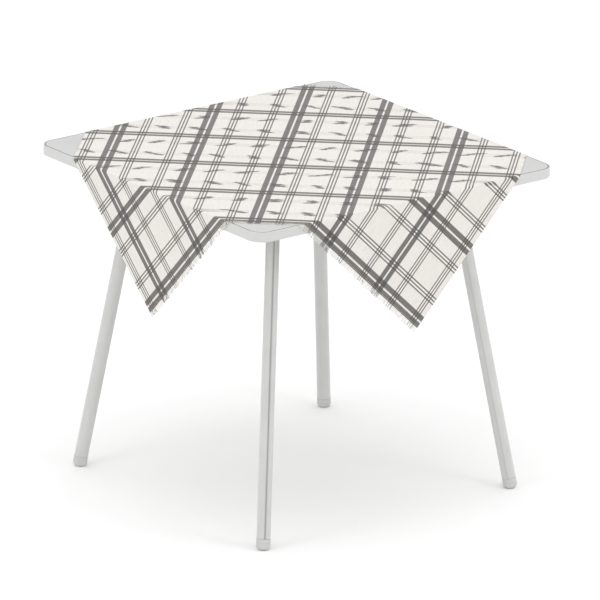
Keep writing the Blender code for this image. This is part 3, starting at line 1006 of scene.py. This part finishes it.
def screw_mesh(name, head, head_height, shank, screw_length, material):
    """A pan-head screw with a cross recess and a thread, pointing down its own Z."""
    head_radius, shank_radius = head / 2, shank / 2
    bm = bmesh.new()
    top_rings = [(head_radius * part, head_height) for part in (0.0, 0.12, 0.24, 0.36, 0.48, 0.6)]
    shoulder = [(head_radius * (0.6 + 0.4 * math.sin(a)), head_height * (0.55 + 0.45 * math.cos(a)))
                for a in (math.pi / 2 * step / 4 for step in range(1, 5))]
    shank_rings = [(head_radius, 0.0), (shank_radius * 0.8, 0.0)]
    turns = int(screw_length / THREAD_PITCH) - 2
    for turn in range(turns):
        height = -0.9 * MM - turn * THREAD_PITCH
        shank_rings += [(shank_radius * 0.72, height), (shank_radius, height - 0.55 * MM),
                        (shank_radius * 0.72, height - 1.1 * MM)]
    shank_rings += [(shank_radius * 0.66, -screw_length + shank_radius), (0.0, -screw_length)]
    lathe(bm, top_rings + shoulder + shank_rings, 24, Matrix())
    arm, depth = head_radius * 0.13, head_height * 0.55
    for vertex in bm.verts:
        x, y = abs(vertex.co.x), abs(vertex.co.y)
        if vertex.co.z > head_height * 0.99 and min(x, y) < arm and max(x, y) < head_radius * 0.5:
            vertex.co.z -= depth
    return mesh_from(bm, name, material, 30)


def set_copies(name, part_mesh, markers, material, wobble=0.0):
    """One mesh of all the copies of a part, for one body."""
    part = new_object("copied_part", part_mesh)
    mesh = copies_recipe().make(markers, name, Part=part, Material=material, Wobble=wobble,
                                Seed=3)
    bpy.data.objects.remove(part, do_unlink=True)
    return mesh


# ---- Table -------------------------------------------------------------------------------------

def leg_frame(corner, table):
    """Where a leg's axis meets the floor: its Z runs up the leg, its X outwards."""
    sx, sy = CORNERS[corner]
    foot = Vector((sx * table.leg_foot, sy * table.leg_foot, 0))
    top = Vector((sx * table.leg_top, sy * table.leg_top, UNDERSIDE))
    along = (top - foot).normalized()
    outward = Vector((sx, sy, 0)).normalized()
    outward = (outward - along * outward.dot(along)).normalized()
    turn = Matrix((outward, along.cross(outward), along)).transposed().to_4x4()
    return Matrix.Translation(foot) @ turn


def leg_splay(table):
    return math.atan2((table.leg_foot - table.leg_top) * math.sqrt(2), UNDERSIDE)


def plate_along_leg(corner, table):
    """Distance up a leg's axis from the floor to the bracket plate's lower face."""
    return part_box("leg_plate_" + corner)[0].z / math.cos(leg_splay(table))


def rim_mesh(table, material):
    """The edge band: a thin upright wall with rounded outer arrises and eased inner ones."""
    bm = bmesh.new()
    rounding, thick, ease = table.band_round, table.band_thickness, 0.25 * MM
    low, high = UNDERSIDE, TOP_HEIGHT
    outer_low = [(rounding - x, y) for x, y in quarter_round((0, low + rounding), rounding, 3, 5)]
    outer_high = [(rounding - x, y) for x, y in quarter_round((0, high - rounding), rounding, 0, 5)]
    profile = outer_low + outer_high
    profile += [(thick - ease, high), (thick, high - ease), (thick, low + ease),
                (thick - ease, low)]
    sweep_rim(bm, TOP_HALF, table.corner_radius, profile, 18)
    return mesh_from(bm, "table_rim", material, 50)


def face_mesh(table, material):
    """The laminate face: a thin sheet inside the band, with an eased upper edge."""
    bm = bmesh.new()
    inset = table.band_thickness + FIT_GAP
    ease = 0.35 * MM
    low, high = TOP_HEIGHT - table.skin, TOP_HEIGHT
    profile = [(0, low), (0, high - ease), (ease, high)]
    rings = sweep_rim(bm, TOP_HALF - inset, table.corner_radius - inset, profile, 18,
                      closed=False)
    bm.faces.new([ring[-1] for ring in rings])
    bm.faces.new([ring[0] for ring in reversed(rings)])
    return mesh_from(bm, "table_face", material, 30)


def tube_mesh(corner, table, material):
    """A leg tube, open at its ends, with its welded seam as a shallow groove along it, and the
    seam's weight stored for the painted shade that darkens it.
    """
    bm = bmesh.new()
    radius = table.tube_diameter / 2
    bore = radius - table.tube_wall
    low = table.cap_height + FIT_GAP
    high = plate_along_leg(corner, table) - TUBE_TOP_SETBACK
    ease = 0.3 * MM
    steps = 120
    profile = [(radius - ease, high), (radius, high - ease)]
    profile += [(radius, high + (low - high) * part / 12) for part in range(1, 12)]
    profile += [(radius, low + ease), (radius - ease, low), (bore, low), (bore, high)]
    lathe(bm, profile, steps, Matrix(), closed=True)
    seam = bm.verts.layers.float.new(SEAM_AND_SHADE)
    degrees, showing = SEAMS[corner]
    facing = math.radians(degrees)
    for vertex in bm.verts:
        across = vertex.co.xy.length
        turned = math.atan2(vertex.co.y, vertex.co.x) - facing
        from_seam = abs(math.remainder(turned, math.tau)) * across
        if across > bore + MM / 2:
            groove = max(0.0, 1 - from_seam / table.seam_half_width)
            vertex[seam] = groove * showing
            vertex.co.xy *= 1 - vertex[seam] * table.seam_depth / across
    bm.transform(leg_frame(corner, table))
    return mesh_from(bm, "leg_" + corner, material, 40)


def cap_mesh(corner, table, material):
    """A push-in foot cap: a plug, a grooved skirt and a round end cut level at the floor."""
    bm = bmesh.new()
    radius = table.tube_diameter / 2
    plug = radius - table.tube_wall - FIT_GAP
    skirt = radius + CAP_STANDOUT
    lip, groove, groove_height, sink, end_round = 0.6 * MM, 0.6 * MM, 15 * MM, 1.5 * MM, 9 * MM
    splay = leg_splay(table)
    ball_radius = skirt - end_round
    ball_height = (end_round - sink + ball_radius * math.sin(splay)) / math.cos(splay)
    plug_end = table.cap_height + CAP_PLUG_LENGTH
    profile = [(0, plug_end), (plug - MM, plug_end), (plug, plug_end - 2 * MM),
               (plug, table.cap_height)]
    profile += [(skirt - lip + lip * math.sin(a), table.cap_height - lip + lip * math.cos(a))
                for a in (math.pi / 2 * step / 4 for step in range(5))]
    profile += [(skirt, groove_height + MM), (skirt - groove, groove_height + 0.5 * MM),
                (skirt - groove, groove_height - 0.5 * MM), (skirt, groove_height - MM)]
    profile += [(ball_radius + end_round * math.cos(a), ball_height - end_round * math.sin(a))
                for a in (math.pi / 2 * step / 10 for step in range(11))]
    profile += [(0, ball_height - end_round)]
    lathe(bm, profile, 56, leg_frame(corner, table))
    bmesh.ops.edgeloop_fill(bm, edges=cut_level(bm, 0, -1))
    bmesh.ops.recalc_face_normals(bm, faces=bm.faces)
    return mesh_from(bm, "foot_" + corner, material, 35)


def sleeve_mesh(corner, table, material):
    """The sleeve of a leg bracket, with the weld bead that joins it to its plate."""
    bm = bmesh.new()
    radius = table.tube_diameter / 2
    bore = radius + FIT_GAP
    outer = bore + SLEEVE_WALL
    along = plate_along_leg(corner, table)
    low = along - SLEEVE_LENGTH
    ease = 0.4 * MM
    place = leg_frame(corner, table)
    profile = [(outer, along + outer), (outer, low + ease), (outer - ease, low), (bore, low),
               (bore, along + outer)]
    lathe(bm, profile, 56, place, closed=True)
    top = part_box("leg_plate_" + corner)[0].z - FIT_GAP
    bmesh.ops.bridge_loops(bm, edges=cut_level(bm, top, 1))
    bmesh.ops.recalc_face_normals(bm, faces=bm.faces)
    join_rings(bm, [[bm.verts.new(point) for point in ring]
                    for ring in weld_bead(place, along, outer, top)])
    bmesh.ops.recalc_face_normals(bm, faces=bm.faces)
    return mesh_from(bm, "sleeve_" + corner, material, 35)


def weld_bead(place, along, outer, top):
    """Rings of points of a rippled fillet where the sleeve meets the plate."""
    rings = []
    steps, size = 96, 2.6 * MM
    axis = (place.to_3x3() @ Vector((0, 0, 1))).normalized()
    for step in range(steps):
        angle = math.tau * step / steps
        around = Vector((math.cos(angle), math.sin(angle), 0))
        foot = place @ (around * (outer - 0.2 * MM) + Vector((0, 0, along)))
        foot += axis * ((top - foot.z) / axis.z)
        outward = place.to_3x3() @ around
        outward.z = 0
        outward.normalize()
        throat = size * (1 + 0.12 * math.sin(step * 2.1))
        down = Vector((0, 0, -1))
        rings.append([foot, foot + outward * throat,
                      foot + outward * throat * 0.62 + down * throat * 0.5,
                      foot + outward * throat * 0.15 + down * throat])
    return rings


def screw_markers(kind, table):
    """Seats and directions of the plate screws or of the lock screws."""
    places, aims, faces = [], [], []
    for corner in CORNERS:
        if kind == "plate":
            for number in range(1, 5):
                low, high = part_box(f"plate_screw_{corner}_{number}")
                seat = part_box("leg_plate_" + corner)[0].z - FIT_GAP
                places.append(Vector(((low.x + high.x) / 2, (low.y + high.y) / 2, seat)))
                aims.append(Vector((0, 0, -1)))
                faces.append(Vector((1, number * 0.4, 0)).normalized())
        else:
            place = leg_frame(corner, table)
            outer = table.tube_diameter / 2 + FIT_GAP + SLEEVE_WALL
            height = plate_along_leg(corner, table) - SLEEVE_LENGTH + LOCK_SCREW_HEIGHT
            places.append(place @ Vector((-outer - FIT_GAP, 0, height)))
            aims.append(place.to_3x3() @ Vector((-1, 0, 0)))
            faces.append(place.to_3x3() @ Vector((0, 0.3, 1)).normalized())
    return marker_mesh(kind + "_seats", places, aim=aims, face=faces)


# ---- Operators ---------------------------------------------------------------------------------

class LINEN_OT_cloth(bpy.types.Operator):
    """Weave the checked cloth and lay it over the table"""
    bl_idname = "linen.cloth"
    bl_label = "Lay Cloth"

    def execute(self, context):
        cloth, checks = context.scene.linen_cloth, context.scene.linen_checks
        drape = Drape(cloth, context.scene.linen_table)
        mesh = laid_cloth_mesh(drape, cloth, woven_cloth_finish(cloth, checks))
        add_piece("woven_cloth", mesh, "cloth", "cloth", "tablecloth")
        return {'FINISHED'}


class LINEN_OT_fringe(bpy.types.Operator):
    """Set the fringe threads along both ends of the cloth"""
    bl_idname = "linen.fringe"
    bl_label = "Set Fringe"

    def execute(self, context):
        scene = context.scene
        cloth, fringe = scene.linen_cloth, scene.linen_fringe
        drape = Drape(cloth, scene.linen_table)
        material = fringe_finish(cloth, scene.linen_checks)
        recipe = fringe_recipe()
        for name, end in (("front", -1), ("back", 1)):
            markers = fringe_markers(drape, cloth, fringe, end)
            mesh = recipe.make(markers, "fringe_threads_" + name, keep=(FLAT_MAP,),
                               Thread_Length=fringe.thread_length,
                               Thread_Thickness=fringe.thread_thickness,
                               Looseness=fringe.looseness, Curl=fringe.curl,
                               Seed=fringe.seed + end, Material=material)
            add_piece("fringe_threads_" + name, mesh, "cloth", "fringe", "fringe_" + name)
        return {'FINISHED'}


class LINEN_OT_stitches(bpy.types.Operator):
    """Sew the line of stitches that holds the weave above each fringe"""
    bl_idname = "linen.stitches"
    bl_label = "Sew Stitches"

    def execute(self, context):
        cloth = context.scene.linen_cloth
        drape = Drape(cloth, context.scene.linen_table)
        material = stitch_finish(cloth)
        mesh = set_copies("fringe_stitches", stitch_mesh(material),
                          stitch_markers(drape, cloth), material, wobble=0.06)
        add_piece("fringe_stitches", mesh, "cloth", "fringe")
        return {'FINISHED'}


class LINEN_OT_declare(bpy.types.Operator):
    """Does nothing; the cloth is left as the other steps made it"""
    bl_idname = "linen.declare"
    bl_label = "Declare Cloth"

    def execute(self, context):
        return {'FINISHED'}


class LINEN_OT_table_top(bpy.types.Operator):
    """Make the table's face and rim, and finish the board between its skins"""
    bl_idname = "linen.table_top"
    bl_label = "Make Table Top"

    def execute(self, context):
        table = context.scene.linen_table
        rim = add_piece("table_rim", rim_mesh(table, band_finish(table)), "table", "band",
                        "edge_band")
        check_box(rim, "edge_band")
        # The dark edge on the face is partly the laminate's cut edge and partly painted shade of
        # the joint.
        face = laminate_finish("face_laminate", table, table.face, edge_shade_width=1.7 * MM)
        piece = add_piece("table_face", face_mesh(table, face), "table", "laminate",
                          "top_laminate")
        check_box(piece, "top_laminate")
        refinish("core_board", board_finish())
        refinish("backing_laminate", laminate_finish("backing_laminate", table,
                                                     shade(208, 207, 204)))
        return {'FINISHED'}


class LINEN_OT_legs(bpy.types.Operator):
    """Make the leg tubes and the brackets that hold them"""
    bl_idname = "linen.legs"
    bl_label = "Make Legs"

    def execute(self, context):
        table = context.scene.linen_table
        coat = powder_coat_finish(table)
        for corner in CORNERS:
            tube = add_piece("leg_" + corner, tube_mesh(corner, table, coat), "table", "steel",
                             "leg_tube_" + corner)
            check_box(tube, "leg_tube_" + corner)
            add_piece("sleeve_" + corner, sleeve_mesh(corner, table, coat), "table", "steel",
                      "leg_sleeve_" + corner)
            refinish("leg_plate_" + corner, coat)
        return {'FINISHED'}


class LINEN_OT_feet(bpy.types.Operator):
    """Make the moulded foot caps"""
    bl_idname = "linen.feet"
    bl_label = "Make Foot Caps"

    def execute(self, context):
        table = context.scene.linen_table
        material = cap_finish(table)
        for corner in CORNERS:
            cap = add_piece("foot_" + corner, cap_mesh(corner, table, material), "table",
                            "plastic", "foot_cap_" + corner)
            check_box(cap, "foot_cap_" + corner)
        return {'FINISHED'}


class LINEN_OT_screws(bpy.types.Operator):
    """Set the plate screws and the lock screws in their seats"""
    bl_idname = "linen.screws"
    bl_label = "Set Screws"

    def execute(self, context):
        table = context.scene.linen_table
        zinc = zinc_finish()
        plate_part = screw_mesh("plate_screw", *PLATE_SCREW, zinc)
        mesh = set_copies("plate_screws", plate_part, screw_markers("plate", table), zinc)
        nodes = [f"plate_screw_{corner}_{number}" for corner in CORNERS for number in range(1, 5)]
        check_box(add_piece("plate_screws", mesh, "table", "zinc", *nodes), *nodes)
        lock_part = screw_mesh("lock_screw", *LOCK_SCREW, zinc)
        mesh = set_copies("lock_screws", lock_part, screw_markers("lock", table), zinc)
        nodes = ["lock_screw_" + corner for corner in CORNERS]
        check_box(add_piece("lock_screws", mesh, "table", "zinc", *nodes), *nodes)
        return {'FINISHED'}


def camera_axes(stage):
    """The camera's right, up and back directions."""
    a, e = stage.azimuth, stage.elevation
    back = Vector((math.sin(a) * math.cos(e), -math.cos(a) * math.cos(e), math.sin(e)))
    right = Vector((math.cos(a), math.sin(a), 0))
    return right, back.cross(right), back


def add_softbox(name, place, size, power):
    light = bpy.data.lights.new(name, 'AREA')
    light.shape = 'RECTANGLE'
    light.size, light.size_y = size
    light.energy = power
    lamp = new_object(name, light)
    lamp.location = place
    lamp.rotation_euler = (LIT_POINT - place).to_track_quat('-Z', 'Y').to_euler()


class LINEN_OT_stage(bpy.types.Operator):
    """Set the floor, the soft studio light and the camera"""
    bl_idname = "linen.stage"
    bl_label = "Set Stage"

    def execute(self, context):
        scene = context.scene
        stage = scene.linen_stage
        self.lay_floor(stage)
        self.light_room(scene, stage)
        self.set_camera(scene, stage)
        scene.view_settings.view_transform = 'Standard'
        return {'FINISHED'}

    @staticmethod
    def lay_floor(stage):
        bm = bmesh.new()
        bmesh.ops.create_grid(bm, x_segments=1, y_segments=1, size=40)
        paint = Paint("studio_floor", Roughness=0.95, Specular_IOR_Level=0.1,
                      Emission_Color=(1, 1, 1, 1), Emission_Strength=stage.floor_glow)
        cloud = paint.noise(paint.place(), 0.8, 2.0)
        tint = paint.mottle(cloud, stage.floor, 0.995, 1.0)
        new_object("studio_floor", mesh_from(bm, "studio_floor", paint.cover(tint)))

    @staticmethod
    def light_room(scene, stage):
        world = bpy.data.worlds.new("studio")
        world.use_nodes = True
        scene.world = world
        graph = Graph(world.node_tree)
        world.node_tree.nodes.clear()
        seen = graph.node('ShaderNodeLightPath', output=0)
        _, _, rise = graph.split(graph.node('ShaderNodeTexCoord'))
        sky = rise * rise * (stage.zenith - stage.horizon) + stage.horizon
        glow = graph.node('ShaderNodeBackground', inputs={
            "Color": (1, 1, 1, 1), "Strength": seen + (1.0 - seen) * sky})
        out = world.node_tree.nodes.new('ShaderNodeOutputWorld')
        graph.feed(out.inputs["Surface"], glow)
        right, _, back = camera_axes(stage)
        flat_back = Vector((back.x, back.y, 0)).normalized()
        for name, towards, aside, height, size, power in SOFTBOXES:
            place = flat_back * towards + right * aside + Vector((0, 0, height))
            add_softbox(name, place, size, power)

    @staticmethod
    def set_camera(scene, stage):
        right, up, back = camera_axes(stage)
        c, s = math.cos(stage.roll), math.sin(stage.roll)
        turn = Matrix((right * c + up * s, up * c - right * s, back)).transposed().to_4x4()
        spot = Vector((0, 0, stage.aim_height)) + back * stage.distance + right * stage.aim_side
        camera = bpy.data.cameras.new("studio_camera")
        camera.lens = stage.lens
        camera.clip_end = 200
        holder = new_object("studio_camera", camera)
        holder.matrix_world = Matrix.Translation(spot) @ turn
        scene.camera = holder


class LINEN_PT_panel(bpy.types.Panel):
    """Sizes and colours of the table and its cloth"""
    bl_label = "Table Linen"
    bl_idname = "LINEN_PT_panel"
    bl_space_type = 'VIEW_3D'
    bl_region_type = 'UI'
    bl_category = "Table Linen"

    def draw(self, context):
        for name in SETTINGS:
            box = self.layout.box()
            settings = getattr(context.scene, name)
            for field in settings.bl_rna.properties:
                if field.identifier not in ("rna_type", "name"):
                    box.prop(settings, field.identifier)
        for operator in OPERATORS:
            self.layout.operator(operator.bl_idname)


SETTINGS = {
    "linen_cloth": LINEN_PG_cloth,
    "linen_checks": LINEN_PG_checks,
    "linen_fringe": LINEN_PG_fringe,
    "linen_table": LINEN_PG_table,
    "linen_stage": LINEN_PG_stage,
}
OPERATORS = (LINEN_OT_table_top, LINEN_OT_legs, LINEN_OT_feet, LINEN_OT_screws, LINEN_OT_cloth,
             LINEN_OT_fringe, LINEN_OT_stitches, LINEN_OT_declare, LINEN_OT_stage)


def register():
    for group in SETTINGS.values():
        bpy.utils.register_class(group)
    for name, group in SETTINGS.items():
        setattr(bpy.types.Scene, name, bpy.props.PointerProperty(type=group))
    for operator in OPERATORS:
        bpy.utils.register_class(operator)
    bpy.utils.register_class(LINEN_PT_panel)


def unregister():
    bpy.utils.unregister_class(LINEN_PT_panel)
    for operator in reversed(OPERATORS):
        bpy.utils.unregister_class(operator)
    for name, group in reversed(SETTINGS.items()):
        delattr(bpy.types.Scene, name)
        bpy.utils.unregister_class(group)


def main():
    register()
    for operator in OPERATORS:
        group, name = operator.bl_idname.split(".")
        getattr(getattr(bpy.ops, group), name)()


if __name__ == "__main__":
    main()
